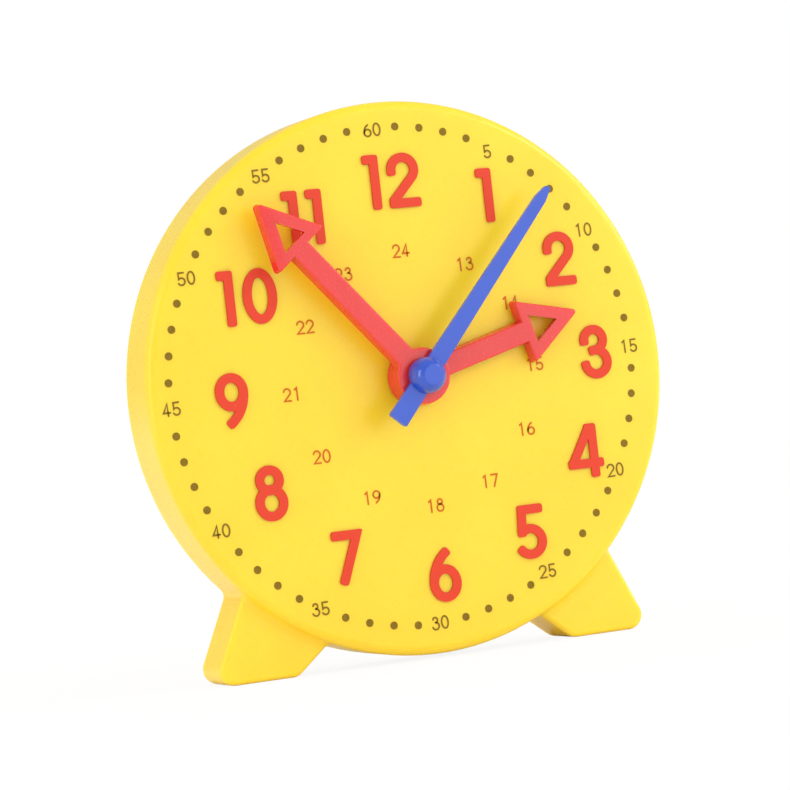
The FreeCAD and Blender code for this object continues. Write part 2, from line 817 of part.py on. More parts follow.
def make_hour_numerals():
    """The twelve raised numerals, upright on a circle about the shaft."""
    spacing = float(S.numeral_spacing)
    solids = []
    for hour in range(1, 13):
        digits = str(hour)
        x, z = numeral_middle(hour)
        edge = x - (sum(digit_width(digit) + spacing for digit in digits) - spacing) / 2
        for digit in digits:
            solids.append(digit_solid(digit, edge + digit_width(digit) / 2, z))
            edge += digit_width(digit) + spacing
    numerals = DOC.addObject("Part::Feature", "hour_numerals")
    numerals.Label = "hour_numerals"
    numerals.Shape = Part.makeCompound(solids)
    numerals.Placement.Base = FreeCAD.Vector(0, float(DIAL_Y), float(S.centre_height))
    return numerals


# ---------------------------------------------------------------- hands


def add_arrow_outline(sketch, length, grow):
    """A round hub, a straight bar and a triangular head, all drawn out by grow."""
    hub = float(S.hand_hub_diameter) / 2 + grow
    bar = float(S.hand_bar_width) / 2 + grow
    shoulder_z = float(length) - float(S.arrow_length)
    half_width = float(S.arrow_width) / 2
    slope = math.atan2(half_width, float(S.arrow_length) + tip_overshoot())
    tip_z = float(length) + tip_overshoot() + grow / math.sin(slope)
    shoulder = shoulder_z - grow
    barb_x = (tip_z - shoulder) * math.tan(slope)
    blend = float(S.hand_hub_blend) - grow
    blend_centre = FreeCAD.Vector(bar + blend, math.sqrt((hub + blend) ** 2 - (bar + blend) ** 2), 0)
    hub_end = blend_centre * (hub / (hub + blend))
    bar_foot = FreeCAD.Vector(bar, blend_centre.y, 0)
    to_middle = (hub_end + bar_foot) / 2 - blend_centre
    blend_middle = blend_centre + to_middle.normalize() * blend
    hub_start = mirrored(hub_end, FreeCAD.Vector(-1, 1, 1))
    sketch.addGeometry(Part.Arc(hub_end, FreeCAD.Vector(0, -hub, 0), hub_start), False)
    barb = float(S.arrow_barb_rounding) + grow
    tip = float(S.arrow_tip_rounding) + grow
    half_barb = (math.pi / 2 - slope) / 2
    back_run = barb / math.tan(half_barb)
    side = FreeCAD.Vector(math.sin(slope), -math.cos(slope), 0)
    tip_point = FreeCAD.Vector(0, tip_z, 0)
    tip_run = tip / math.tan(slope)
    for mirror in (-1, 1):
        flip = FreeCAD.Vector(mirror, 1, 1)
        bar_top = FreeCAD.Vector(mirror * bar, shoulder, 0)
        barb_back = FreeCAD.Vector(mirror * (barb_x - back_run), shoulder, 0)
        barb_corner = FreeCAD.Vector(barb_x, shoulder, 0)
        towards_tip = barb_corner - side * back_run
        bisector = (FreeCAD.Vector(-1, 0, 0) - side).normalize()
        barb_middle = barb_corner + bisector * (barb / math.sin(half_barb) - barb)
        tip_entry = tip_point + side * tip_run
        sketch.addGeometry(
            Part.Arc(mirrored(hub_end, flip), mirrored(blend_middle, flip), mirrored(bar_foot, flip)), False
        )
        sketch.addGeometry(Part.LineSegment(mirrored(bar_foot, flip), bar_top), False)
        sketch.addGeometry(Part.LineSegment(bar_top, barb_back), False)
        sketch.addGeometry(
            Part.Arc(barb_back, mirrored(barb_middle, flip), mirrored(towards_tip, flip)), False
        )
        sketch.addGeometry(
            Part.LineSegment(mirrored(towards_tip, flip), mirrored(tip_entry, flip)), False
        )
    tip_middle = FreeCAD.Vector(0, tip_z - tip / math.sin(slope) + tip, 0)
    tip_left = FreeCAD.Vector(-tip_entry.x, tip_entry.y, 0)
    sketch.addGeometry(Part.Arc(tip_left, tip_middle, tip_entry), False)


def mirrored(point, flip):
    """A point scaled by flip, component by component."""
    return FreeCAD.Vector(point.x * flip.x, point.y * flip.y, point.z * flip.z)


def tip_overshoot():
    """How far the sharp corner of the arrow's sides stands past its rounded tip."""
    slope = math.atan2(float(S.arrow_width) / 2, float(S.arrow_length))
    tip = float(S.arrow_tip_rounding)
    return tip / math.sin(slope) - tip


def window_corners(length, grow):
    """The three corners of the arrow head's open window, drawn out by grow."""
    slope = math.atan2(float(S.arrow_width) / 2, float(S.arrow_length) + tip_overshoot())
    base_z = float(length) - float(S.arrow_length) + float(S.arrow_window_rim) - grow
    tip_z = float(length) + tip_overshoot() - (float(S.arrow_window_side) - grow) / math.sin(slope)
    half = (tip_z - base_z) * math.tan(slope)
    return [(-half, base_z, 0), (half, base_z, 0), (0, tip_z, 0)]


def make_arrow_hand(label, length, back, shaft_radius, rest_angle):
    """A hand with drafted sides, a softly rounded front edge, an open arrow head and a press-fit hub."""
    body = new_body(label, turn=rest_angle)
    draft = math.degrees(math.atan2(float(S.hand_flare), float(S.hand_thickness)))
    outline = dial_sketch(body, label + "_outline", back)
    add_arrow_outline(outline, length, float(S.hand_flare))
    pad(body, outline, label + "_blank", S.hand_thickness, backward=False, taper=-draft)
    front = back - S.hand_thickness
    round_edges(body, label + "_rounding", S.hand_edge_rounding, lambda edge: lies_at_depth(edge, front))
    window_draft = math.degrees(math.atan2(float(S.arrow_window_flare), float(S.hand_thickness)))
    window = dial_sketch(body, label + "_window_outline", front)
    add_outline(window, window_corners(length, 0.0))
    pocket(body, window, label + "_window", S.hand_thickness, taper=window_draft)
    bore = dial_sketch(body, label + "_bore_outline", front)
    add_circle(bore, shaft_radius + S.press_gap)
    pocket(body, bore, label + "_bore", S.hand_thickness)
    return body


def make_second_hand():
    """The slim second hand with its counterweight tail, finger knob and the boss that stands it off."""
    body = new_body("second_hand", turn=S.second_rest_angle)
    outline = dial_sketch(body, "second_outline", SECOND_HAND_BACK)
    tail_z, tip_z = -float(S.second_tail_length), float(S.second_length)
    tail = float(S.second_tail_width) / 2
    front = float(S.second_front_width) / 2
    tip = float(S.second_tip_width) / 2
    neck_z = tip_z - float(S.second_taper_length)
    add_outline(outline, [
        (-tail, tail_z, float(S.second_tail_rounding)),
        (tail, tail_z, float(S.second_tail_rounding)),
        (front, neck_z, tip),
        (tip, tip_z, tip * 0.95),
        (-tip, tip_z, tip * 0.95),
        (-front, neck_z, tip),
    ])
    pad(body, outline, "second_blade", S.second_thickness, backward=False)
    boss = dial_sketch(body, "second_boss_outline", MINUTE_HAND_FRONT - S.second_boss_gap)
    add_circle(boss, S.second_boss_diameter / 2)
    pad(body, boss, "second_boss", S.second_clearance - S.second_boss_gap, backward=False)

    knob = section_sketch(body, "knob_section")
    radius = float(S.knob_diameter) / 2
    rise = float(S.knob_height)
    crown = math.sqrt(radius ** 2 - rise ** 2)
    base, shoulder = float(SECOND_HAND_BACK), float(SECOND_HAND_FRONT)
    middle = math.radians((90 + math.degrees(math.asin(crown / radius))) / 2)
    add_arc_and_lines(
        knob,
        [
            (radius, shoulder),
            (radius * math.sin(middle), shoulder - radius * math.cos(middle)),
            (crown, shoulder - rise),
        ],
        [(0, shoulder - rise), (0, base), (radius, base)],
    )
    turned(body, knob, "knob")
    round_edges(
        body, "knob_crown", S.knob_crown_rounding, lambda edge: lies_at_depth(edge, KNOB_FRONT)
    )

    bore = dial_sketch(body, "arbor_hole_outline", SECOND_HAND_FRONT - S.arbor_grip)
    add_circle(bore, ARBOR_RADIUS + S.press_gap)
    pocket(body, bore, "arbor_hole", S.arbor_grip + S.second_thickness + S.second_clearance)
    return body


# ---------------------------------------------------------------- wheels


def gap_half_angle(radius, teeth, module):
    """Half the angle of a tooth gap at a radius, for involute teeth with backlash."""
    pressure = math.radians(float(S.gear_pressure_angle))
    pitch = module * teeth / 2
    base = pitch * math.cos(pressure)
    at_radius = math.acos(min(base / radius, 1.0))
    involute = (math.tan(at_radius) - at_radius) - (math.tan(pressure) - pressure)
    return math.pi / (2 * teeth) + float(S.gear_backlash) / (2 * pitch) + involute


def add_tooth_gap(sketch, teeth, module, direction):
    """One gap between two teeth, centred on direction (degrees clockwise from the top)."""
    pitch = module * teeth / 2
    base = pitch * math.cos(math.radians(float(S.gear_pressure_angle)))
    root = pitch - module * float(S.gear_dedendum)
    past_tip = pitch + module * (float(S.gear_addendum) + 0.3)
    flank = max(base, root)

    def spot(radius, side):
        angle = math.radians(direction) + side * gap_half_angle(max(radius, base), teeth, module)
        return FreeCAD.Vector(radius * math.sin(angle), radius * math.cos(angle), 0)

    for side in (-1, 1):
        middle = (flank + past_tip) / 2
        sketch.addGeometry(Part.Arc(spot(flank, side), spot(middle, side), spot(past_tip, side)), False)
        if root < base:
            sketch.addGeometry(Part.LineSegment(spot(root, side), spot(flank, side)), False)
    sketch.addGeometry(Part.LineSegment(spot(root, -1), spot(root, 1)), False)
    sketch.addGeometry(Part.LineSegment(spot(past_tip, -1), spot(past_tip, 1)), False)


def add_toothed_disc(body, name, teeth, module, front, thickness, gap_direction):
    """A spur wheel on the shaft: a blank of the tip diameter, and one gap repeated round it."""
    blank = dial_sketch(body, name + "_blank_outline", front)
    add_circle(blank, module * (teeth / 2 + S.gear_addendum))
    pad(body, blank, name + "_blank", thickness)
    gap = dial_sketch(body, name + "_gap_outline", front)
    add_tooth_gap(gap, float(teeth), float(module), gap_direction)
    cut = pocket(body, gap, name + "_gap", thickness)
    polar_pattern(body, cut, gap, name + "_teeth", teeth)


def add_wheel_windows(body, name, front, thickness):
    """Round lightening holes in a wheel's web."""
    window = dial_sketch(body, name + "_window_outline", front)
    add_circle(window, S.wheel_window_diameter / 2, ZERO, S.wheel_window_circle)
    cut = pocket(body, window, name + "_window", thickness)
    polar_pattern(body, cut, window, name + "_windows", S.wheel_window_count)


def add_cylinder(body, name, radius, front, back):
    """A round length of shaft from y = front to y = back."""
    outline = dial_sketch(body, name + "_outline", front)
    add_circle(outline, radius)
    pad(body, outline, name, back - front)


def add_bore(body, name, radius, front, back):
    """A round hole from y = front to y = back."""
    outline = dial_sketch(body, name + "_outline", front)
    add_circle(outline, radius)
    pocket(body, outline, name, back - front)


def make_hour_wheel():
    """The hour wheel with the pipe that carries the hour hand through the dial."""
    body = new_body("hour_wheel")
    add_toothed_disc(body, "hour_wheel", S.hour_wheel_teeth, HOUR_MODULE,
                     HOUR_WHEEL_FRONT, S.hour_wheel_thickness, 180.0)
    add_wheel_windows(body, "hour_wheel", HOUR_WHEEL_FRONT, S.hour_wheel_thickness)
    add_cylinder(body, "hour_pipe", PIPE_RADIUS, HOUR_HAND_FRONT, HOUR_WHEEL_BACK)
    add_bore(body, "hour_pipe_bore", PIPE_BORE_RADIUS, HOUR_HAND_FRONT, HOUR_WHEEL_BACK)
    return body


def make_minute_arbor():
    """The minute pinion with its tube, which carries the minute hand and turns in the bridge."""
    body = new_body("minute_arbor")
    half_pitch = 180.0 / float(S.minute_pinion_teeth)
    add_toothed_disc(body, "minute_pinion", S.minute_pinion_teeth, S.gear_module,
                     MOTION_WHEEL_FRONT, S.motion_wheel_thickness, 180.0 + half_pitch)
    add_cylinder(body, "minute_tube", TUBE_RADIUS, MINUTE_HAND_FRONT, MINUTE_TUBE_BACK)
    add_bore(body, "minute_tube_bore", TUBE_BORE_RADIUS, MINUTE_HAND_FRONT, MINUTE_TUBE_BACK)
    return body


def make_motion_wheel():
    """The wheel and pinion on the stud, which join the minute pinion to the hour wheel."""
    body = new_body("motion_wheel", z=-CENTRE_DISTANCE)
    add_toothed_disc(body, "motion_wheel", S.motion_wheel_teeth, S.gear_module,
                     MOTION_WHEEL_FRONT, S.motion_wheel_thickness, 0.0)
    add_wheel_windows(body, "motion_wheel", MOTION_WHEEL_FRONT, S.motion_wheel_thickness)
    half_pitch = 180.0 / float(S.motion_pinion_teeth)
    pinion_front = S.dial_thickness + S.axial_play
    add_toothed_disc(body, "motion_pinion", S.motion_pinion_teeth, HOUR_MODULE,
                     pinion_front, MOTION_WHEEL_FRONT - pinion_front, half_pitch)
    add_bore(body, "stud_bore", STUD_RADIUS + S.running_gap, pinion_front, MOTION_WHEEL_BACK)
    return body


# ---------------------------------------------------------------- small turned parts


def make_washer(label, bore_radius, outer_radius, front, thickness, z=None):
    """A flat washer."""
    body = new_body(label, z=z)
    outline = dial_sketch(body, label + "_outline", front)
    add_circle(outline, outer_radius)
    add_circle(outline, bore_radius)
    pad(body, outline, label + "_ring", thickness)
    return body


def make_spring_washer(label, bore_radius, outer_radius, front, thickness, rise):
    """A dished spring washer, its rim behind its bore by rise."""
    body = new_body(label)
    section = section_sketch(body, label + "_section")
    inner, outer = float(bore_radius), float(outer_radius)
    near, far = float(front), float(front) + float(rise)
    add_outline(section, [
        (inner, near, 0),
        (outer, far, 0),
        (outer, far + float(thickness), 0),
        (inner, near + float(thickness), 0),
    ])
    turned(body, section, label + "_cone")
    return body


def make_second_arbor():
    """The steel pin that carries the second hand through the minute tube."""
    body = new_body("second_arbor")
    section = section_sketch(body, "arbor_section")
    radius, chamfer = float(ARBOR_RADIUS), float(S.arbor_chamfer)
    front = float(SECOND_HAND_FRONT - S.arbor_grip + S.axial_play)
    back = float(ARBOR_BACK)
    add_outline(section, [
        (0, front, 0),
        (radius - chamfer, front, 0),
        (radius, front + chamfer, 0),
        (radius, back - chamfer, 0),
        (radius - chamfer, back, 0),
        (0, back, 0),
    ])
    turned(body, section, "arbor_pin")
    return body


def make_second_retainer():
    """The push-on star washer that keeps the second arbor in its tube."""
    body = make_washer("second_retainer", ARBOR_RADIUS + S.press_gap, S.retainer_diameter / 2,
                       SECOND_SPRING_BACK, S.retainer_thickness)
    slot = dial_sketch(body, "retainer_slot_outline", SECOND_SPRING_BACK)
    inner = float(ARBOR_RADIUS) / 2
    outer = float(ARBOR_RADIUS) + float(S.retainer_slot_length)
    half = float(S.retainer_slot_width) / 2
    add_outline(slot, [(-half, inner, 0), (half, inner, 0), (half, outer, 0), (-half, outer, 0)])
    cut = pocket(body, slot, "retainer_slot", S.retainer_thickness)
    polar_pattern(body, cut, slot, "retainer_slots", S.retainer_slot_count)
    return body


def make_motion_stud():
    """The steel pin, held in the dial and the bridge, that the motion wheel turns on."""
    body = new_body("motion_stud", z=-CENTRE_DISTANCE)
    outline = dial_sketch(body, "motion_stud_outline", S.dial_thickness - S.stud_socket_depth)
    add_circle(outline, STUD_RADIUS)
    pad(body, outline, "motion_stud_pin", BRIDGE_BACK - S.dial_thickness + S.stud_socket_depth)
    return body


# ---------------------------------------------------------------- bridge and screws


def bridge_hull():
    """The bridge's outline: straight sides tangent to a round corner at each screw and at the stud."""
    return [
        (float(x), float(z))
        for x, z in (
            (-S.bridge_side_offset, S.bridge_side_height),
            (ZERO, S.bridge_top_height),
            (S.bridge_side_offset, S.bridge_side_height),
            (ZERO, -CENTRE_DISTANCE),
        )
    ]


def add_round_hull(sketch, centres, radius):
    """The outline round equal circles at centres, which run clockwise."""
    spots = [FreeCAD.Vector(x, z, 0) for x, z in centres]
    count = len(spots)
    normals = []
    for index in range(count):
        along = (spots[(index + 1) % count] - spots[index]).normalize()
        normals.append(FreeCAD.Vector(-along.y, along.x, 0))
    for index in range(count):
        here, after = spots[index], spots[(index + 1) % count]
        arriving, leaving = normals[index - 1], normals[index]
        middle = (arriving + leaving).normalize()
        sketch.addGeometry(
            Part.Arc(here + arriving * radius, here + middle * radius, here + leaving * radius), False
        )
        sketch.addGeometry(
            Part.LineSegment(here + leaving * radius, after + leaving * radius), False
        )


def make_gear_bridge():
    """The moulded plate behind the wheels, with the bearing for the minute tube and the seat of the stud."""
    body = new_body("gear_bridge")
    outline = dial_sketch(body, "bridge_outline", BRIDGE_FRONT)
    add_round_hull(outline, bridge_hull(), float(S.bridge_corner_diameter) / 2)
    pad(body, outline, "bridge_plate", S.bridge_thickness)
    holes = dial_sketch(body, "bridge_hole_outline", BRIDGE_FRONT)
    add_circle(holes, BRIDGE_BORE_RADIUS)
    add_circle(holes, STUD_RADIUS + S.press_gap, ZERO, -CENTRE_DISTANCE)
    for x, z in BRIDGE_SCREWS:
        add_circle(holes, SCREW_HOLE_RADIUS, x, z)
    pocket(body, holes, "bridge_holes", S.bridge_thickness)
    return body


def make_screws(label, places, seat, length, head_radius, head_height, countersunk):
    """A set of self-tapping screws driven from the back, their heads seated at y = seat."""
    body = new_body(label)
    shanks = dial_sketch(body, label + "_shank_outline", seat - length)
    heads = dial_sketch(body, label + "_head_outline", seat - head_height if countersunk else seat)
    for x, z in places:
        add_circle(shanks, SCREW_RADIUS, x, z)
        add_circle(heads, SCREW_RADIUS if countersunk else head_radius, x, z)
    pad(body, shanks, label + "_shanks", length)
    pad(body, heads, label + "_heads", head_height, taper=45 if countersunk else None)
    face = seat if countersunk else seat + head_height
    recess = dial_sketch(body, label + "_recess_outline", face - S.screw_recess_depth)
    long, wide = float(S.screw_recess_length) / 2, float(S.screw_recess_width) / 2
    for x, z in places:
        middle_x, middle_z = float(x), float(z)
        cross = [
            (-long, -wide), (-wide, -wide), (-wide, -long), (wide, -long), (wide, -wide), (long, -wide),
            (long, wide), (wide, wide), (wide, long), (-wide, long), (-wide, wide), (-long, wide),
        ]
        add_outline(recess, [(middle_x + across, middle_z + up, 0) for across, up in cross])
    pocket(body, recess, label + "_recess", S.screw_recess_depth)
    return body


# ---------------------------------------------------------------- the clock


def make_clock():
    """Every sub-part, each under the name of its node."""
    return [
        make_front_case(),
        make_back_cover(),
        make_hour_numerals(),
        make_arrow_hand("hour_hand", S.hour_hand_length, HOUR_HAND_BACK, PIPE_RADIUS, S.hour_rest_angle),
        make_arrow_hand("minute_hand", S.minute_hand_length, MINUTE_HAND_BACK, TUBE_RADIUS,
                        S.minute_rest_angle),
        make_second_hand(),
        make_hour_wheel(),
        make_minute_arbor(),
        make_motion_wheel(),
        make_motion_stud(),
        make_second_arbor(),
        make_second_retainer(),
        make_washer("hour_washer", DIAL_BORE_RADIUS, S.hour_washer_diameter / 2,
                    S.dial_thickness, S.hour_washer_thickness),
        make_washer("motion_washer", STUD_RADIUS + S.running_gap, S.motion_washer_diameter / 2,
                    MOTION_WHEEL_BACK + S.axial_play, BRIDGE_FRONT - MOTION_WHEEL_BACK - S.axial_play,
                    z=-CENTRE_DISTANCE),
        make_washer("second_washer", ARBOR_RADIUS + S.press_gap, S.second_washer_diameter / 2,
                    MINUTE_HAND_FRONT - S.second_boss_gap, S.second_washer_thickness),
        make_spring_washer("minute_spring_washer", TUBE_RADIUS + S.running_gap,
                           S.minute_spring_diameter / 2, MOTION_WHEEL_BACK + S.axial_play,
                           S.minute_spring_thickness, S.minute_spring_rise),
        make_spring_washer("second_spring_washer", ARBOR_RADIUS + S.press_gap,
                           S.second_spring_diameter / 2, MINUTE_TUBE_BACK,
                           S.second_spring_thickness, S.second_spring_rise),
        make_gear_bridge(),
        make_screws("bridge_screws", BRIDGE_SCREWS, BRIDGE_BACK, S.bridge_screw_length,
                    S.bridge_screw_head_diameter / 2, S.bridge_screw_head_height, False),
        make_screws("cover_screws", COVER_SCREWS, COVER_BACK, S.cover_screw_length,
                    S.cover_screw_head_diameter / 2,
                    S.cover_screw_head_diameter / 2 - SCREW_RADIUS, True),
    ]


def check_and_write(sub_parts):
    """Stop on any failed object or bad shape, then write one STEP file for each sub-part."""
    for thing in DOC.Objects:
        if {"Invalid", "Error"} & set(thing.State):
            raise RuntimeError("%s failed: %s" % (thing.Label, thing.State))
    for sub_part in sub_parts:
        shape = sub_part.Shape
        if shape.isNull() or not shape.isValid() or not shape.Solids:
            raise RuntimeError("%s has no valid solid" % sub_part.Label)
    os.makedirs("parts", exist_ok=True)
    for sub_part in sub_parts:
        sub_part.Shape.exportStep(os.path.join("parts", sub_part.Label + ".step"))
        print("%s: %d solid(s), %.1f mm3" % (
            sub_part.Label, len(sub_part.Shape.Solids), sub_part.Shape.Volume))


SUB_PARTS = make_clock()
DOC.recompute()
check_and_write(SUB_PARTS)
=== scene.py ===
import logging
import math
from dataclasses import dataclass, field
from enum import Enum
from typing import Any, Iterable, Sequence

import bpy
from mathutils import Euler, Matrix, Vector


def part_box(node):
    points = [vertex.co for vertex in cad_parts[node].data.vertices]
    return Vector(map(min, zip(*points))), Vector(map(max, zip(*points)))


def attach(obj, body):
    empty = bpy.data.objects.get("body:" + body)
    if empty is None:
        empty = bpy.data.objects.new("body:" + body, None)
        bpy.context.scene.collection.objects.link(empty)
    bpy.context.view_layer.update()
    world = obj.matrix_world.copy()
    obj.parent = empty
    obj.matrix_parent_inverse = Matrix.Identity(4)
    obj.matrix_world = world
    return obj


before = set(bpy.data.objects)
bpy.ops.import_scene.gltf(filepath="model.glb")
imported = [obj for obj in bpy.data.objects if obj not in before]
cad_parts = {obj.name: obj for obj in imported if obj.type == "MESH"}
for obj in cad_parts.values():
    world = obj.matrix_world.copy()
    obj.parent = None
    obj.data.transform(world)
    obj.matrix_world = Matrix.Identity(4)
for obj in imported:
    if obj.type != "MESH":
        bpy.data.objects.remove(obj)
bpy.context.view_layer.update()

MM = 0.001
BUMP_HEIGHT_MM = 0.1
BEVEL_ANGLE = math.radians(50)
DOT_SEGMENTS = 32
CAP_STEPS = 8
LOG = logging.getLogger("teaching_clock")

Point = tuple[float, float]
Stroke = tuple[list[Point], bool]
Socket = bpy.types.NodeSocket
Tree = bpy.types.ShaderNodeTree


class Body(Enum):
    """The moving groups of the clock that a piece can ride on."""

    CASE = "case"


class Slot(Enum):
    """Names of the record's material slots for the printed finishes."""

    BROWN_PRINT = "brown_print"
    RED_PRINT = "red_print"


def linear(hex_colour: str) -> tuple[float, float, float, float]:
    """Turn an sRGB hex colour into linear values.

    Args:
        hex_colour: Six hex digits, such as "ffe55c".

    Returns:
        Linear red, green and blue, and an alpha of 1.
    """
    parts = [int(hex_colour[place:place + 2], 16) / 255 for place in (0, 2, 4)]
    values = [part / 12.92 if part <= 0.04045 else ((part + 0.055) / 1.055) ** 2.4 for part in parts]
    return (values[0], values[1], values[2], 1.0)


def add_node(
    tree: Tree,
    kind: str,
    settings: dict[str, Any] | None = None,
    values: dict[str | int, Any] | None = None,
    links: dict[str | int, Socket] | None = None,
) -> bpy.types.ShaderNode:
    """Add one shader node with its settings, socket values and links.

    Args:
        tree: The node tree that takes the node.
        kind: The node's type name.
        settings: Node attributes to set.
        values: Values of input sockets, by name or number.
        links: Output sockets to link in, by input name or number.

    Returns:
        The new node.
    """
    node = tree.nodes.new(kind)
    for name, value in (settings or {}).items():
        setattr(node, name, value)
    for name, value in (values or {}).items():
        node.inputs[name].default_value = value
    for name, socket in (links or {}).items():
        tree.links.new(socket, node.inputs[name])
    return node


def set_ramp(node: bpy.types.ShaderNode, stops: Sequence[tuple[float, Any]]) -> None:
    """Give a colour ramp its stops.

    Args:
        node: The colour ramp node, fresh with its two default stops.
        stops: Place and colour of each stop, from left to right.
    """
    elements = node.color_ramp.elements
    while len(elements) < len(stops):
        elements.new(1.0)
    for element, (place, colour) in zip(elements, stops):
        element.position = place
        element.color = colour


def start_material(name: str) -> tuple[bpy.types.Material, Tree, bpy.types.ShaderNode]:
    """Make an empty node material with its output.

    Args:
        name: The material's name.

    Returns:
        The material, its tree and its output node.
    """
    material = bpy.data.materials.new(name)
    material.use_nodes = True
    tree = material.node_tree
    tree.nodes.clear()
    return material, tree, add_node(tree, "ShaderNodeOutputMaterial")


# ---------------------------------------------------------------- finishes


@dataclass(frozen=True)
class MouldedPlastic:
    """Injection-moulded ABS: a solid colour, a skin that is all but smooth, and faint flow shading.

    The polished steel mould leaves a soft gloss. What the eye reads as plastic is the wide, weak
    highlight, the slight unevenness that breaks it, and light that spreads a little under the skin.
    """

    name: str
    colour: str
    shade: str
    roughness: float = 0.38
    ior: float = 1.53
    scatter: float = 0.06
    scatter_mm: float = 0.6
    scatter_tint: tuple[float, float, float] = (1.0, 0.6, 0.3)
    flow_mm: float = 18.0
    grain_mm: float = 0.35
    bump: float = 0.035
    coat: float = 0.0

    def build(self) -> bpy.types.Material:
        """Build the plastic's node material.

        Returns:
            The material.
        """
        material, tree, output = start_material(self.name)
        place = add_node(tree, "ShaderNodeTexCoord").outputs["Object"]
        flow = add_node(
            tree, "ShaderNodeTexNoise",
            values={"Scale": 1 / (self.flow_mm * MM), "Detail": 2.0, "Roughness": 0.45},
            links={"Vector": place},
        ).outputs["Fac"]
        tone = add_node(tree, "ShaderNodeValToRGB", links={"Fac": flow})
        set_ramp(tone, [(0.3, linear(self.shade)), (0.65, linear(self.colour))])
        grain = add_node(
            tree, "ShaderNodeTexNoise",
            values={"Scale": 1 / (self.grain_mm * MM), "Detail": 3.0, "Roughness": 0.6},
            links={"Vector": place},
        ).outputs["Fac"]
        gloss = add_node(
            tree, "ShaderNodeMapRange",
            values={"From Min": 0.3, "From Max": 0.7,
                    "To Min": self.roughness - 0.04, "To Max": self.roughness + 0.05},
            links={"Value": grain},
        ).outputs["Result"]
        ripple = add_node(
            tree, "ShaderNodeBump",
            values={"Strength": self.bump, "Distance": BUMP_HEIGHT_MM * MM},
            links={"Height": grain},
        ).outputs["Normal"]
        skin = add_node(
            tree, "ShaderNodeBsdfPrincipled",
            values={
                "IOR": self.ior,
                "Subsurface Weight": self.scatter,
                "Subsurface Radius": self.scatter_tint,
                "Subsurface Scale": self.scatter_mm * MM,
                "Coat Weight": self.coat,
            },
            links={"Base Color": tone.outputs["Color"], "Roughness": gloss, "Normal": ripple},
        )
        tree.links.new(skin.outputs["BSDF"], output.inputs["Surface"])
        return material


@dataclass(frozen=True)
class StampedNumeral:
    """Hot-stamped red foil on a raised yellow numeral.

    The flat tops are full foil red; the walls, picked out by the way they face, turn to a darker red
    that is painted shade. The foil has fine pinholes where it missed.
    """

    name: str
    foil: str
    # Darker red painted on the numerals' walls as shade
    wall: str
    base: str
    roughness: float = 0.55
    ior: float = 1.48
    pinhole_mm: float = 0.9

    def build(self) -> bpy.types.Material:
        """Build the foil's node material.

        Returns:
            The material.
        """
        material, tree, output = start_material(self.name)
        place = add_node(tree, "ShaderNodeTexCoord").outputs["Object"]
        geometry = add_node(tree, "ShaderNodeNewGeometry")
        facing = add_node(
            tree, "ShaderNodeSeparateXYZ", links={"Vector": geometry.outputs["Normal"]}
        ).outputs["Y"]
        # Mask of the numerals' walls by the way they face, where the darker red of painted shade goes
        wall = add_node(
            tree, "ShaderNodeMapRange",
            values={"From Min": -0.7, "From Max": -0.2, "To Min": 0.0, "To Max": 1.0},
            links={"Value": facing},
        ).outputs["Result"]
        speck = add_node(
            tree, "ShaderNodeTexNoise",
            values={"Scale": 1 / (self.pinhole_mm * MM), "Detail": 4.0, "Roughness": 0.7},
            links={"Vector": place},
        ).outputs["Fac"]
        hole = add_node(tree, "ShaderNodeValToRGB", links={"Fac": speck})
        set_ramp(hole, [(0.24, (1, 1, 1, 1)), (0.29, (0, 0, 0, 1))])
        # Painted shade: the walls take the darker red in place of the foil red
        red = add_node(
            tree, "ShaderNodeMix", settings={"data_type": "RGBA"},
            values={"A": linear(self.foil), "B": linear(self.wall)},
            links={"Factor": wall},
        ).outputs["Result"]
        colour = add_node(
            tree, "ShaderNodeMix", settings={"data_type": "RGBA"},
            values={"B": linear(self.base)},
            links={"A": red, "Factor": hole.outputs["Color"]},
        ).outputs["Result"]
        ripple = add_node(
            tree, "ShaderNodeBump",
            values={"Strength": 0.06, "Distance": BUMP_HEIGHT_MM * MM},
            links={"Height": speck},
        ).outputs["Normal"]
        foil = add_node(
            tree, "ShaderNodeBsdfPrincipled",
            values={"IOR": self.ior, "Roughness": self.roughness},
            links={"Base Color": colour, "Normal": ripple},
        )
        tree.links.new(foil.outputs["BSDF"], output.inputs["Surface"])
        return material


@dataclass(frozen=True)
class PadInk:
    """Pad-printed ink: a thin film that follows the plastic, a little matter than it.

    The silicone pad lays the ink unevenly, so the film is slightly mottled and lets some yellow
    through.
    """

    name: str
    colour: str
    thin: str
    roughness: float = 0.7
    ior: float = 1.4
    mottle_mm: float = 0.5

    def build(self) -> bpy.types.Material:
        """Build the ink's node material.

        Returns:
            The material.
        """
        material, tree, output = start_material(self.name)
        place = add_node(tree, "ShaderNodeTexCoord").outputs["Object"]
        mottle = add_node(
            tree, "ShaderNodeTexNoise",
            values={"Scale": 1 / (self.mottle_mm * MM), "Detail": 3.0, "Roughness": 0.6},
            links={"Vector": place},
        ).outputs["Fac"]
        film = add_node(tree, "ShaderNodeValToRGB", links={"Fac": mottle})
        set_ramp(film, [(0.35, linear(self.thin)), (0.6, linear(self.colour))])
        ink = add_node(
            tree, "ShaderNodeBsdfPrincipled",
            values={"Roughness": self.roughness, "IOR": self.ior},
            links={"Base Color": film.outputs["Color"]},
        )
        tree.links.new(ink.outputs["BSDF"], output.inputs["Surface"])
        return material


